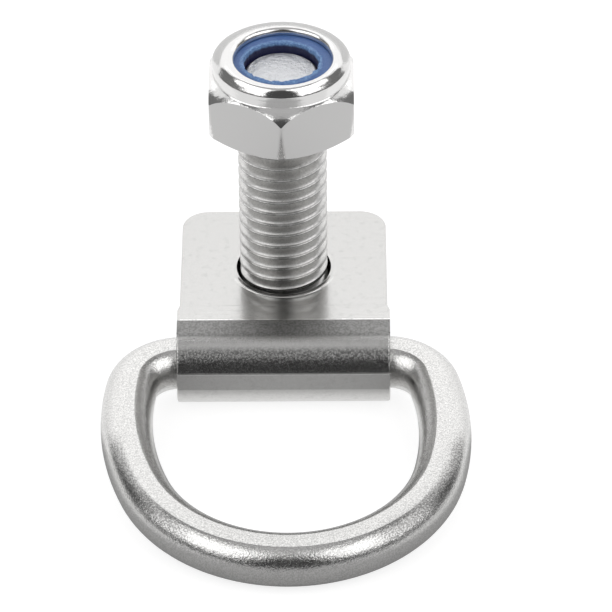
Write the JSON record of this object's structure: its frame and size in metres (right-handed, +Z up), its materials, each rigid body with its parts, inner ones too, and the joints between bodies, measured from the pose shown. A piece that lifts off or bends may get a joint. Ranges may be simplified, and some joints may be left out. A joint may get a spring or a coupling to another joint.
{
  "type": "bolt-on d ring tie-down",
  "caption": "Tie-down point: a round-wire D ring swings in a folded strap that a hex bolt and a nylon-ringed lock nut clamp to a panel.",
  "frame": {"origin": "on the bolt's axis at the strap's upper face, where the panel lies", "axes": "+Z up along the bolt, +X along the ring's bar, the ring lying out towards -Y"},
  "size_m": [0.0407, 0.0579, 0.0374],
  "materials": {
    "strap_steel": "satin rolled stainless sheet, pitted on the outside of its fold",
    "ring_steel": "tumbled stainless wire with a fine satin grain",
    "bolt_steel": "bright rolled stainless thread with a grainy cut end",
    "nut_steel": "bright stainless with a polished collar and satin flats",
    "blue_nylon": "blue nylon, scuffed and torn at its bore"
  },
  "bodies": {
    "base": {"folded_strap": "strap_steel", "hex_bolt": "bolt_steel"},
    "ring": {"d_ring": "ring_steel"},
    "nut_carrier": {"nylon_ring": "blue_nylon"},
    "nut": {"lock_nut": "nut_steel"}
  },
  "joints": [
    {"name": "ring_swing", "type": "hinge", "parent": "base", "child": "ring", "pos_m": [0, -0.01236, -0.00451], "axis": [-1, 0, 0], "range_deg": [-215, 93]},
    {"name": "nut_travel", "type": "slide", "parent": "base", "child": "nut_carrier", "axis": [0, 0, 1], "range_m": [-0.0197, 0.0063], "deforming": ["nylon_ring"]},
    {"name": "nut_turn", "type": "hinge", "parent": "nut_carrier", "child": "nut", "pos_m": [0, 0, 0.0238], "axis": [0, 0, 1], "range_deg": [-4729, 1513]}
  ],
  "couplings": [
    {"joint": "nut_turn", "follows": "nut_travel", "rad_per_m": 4188.8}
  ]
}
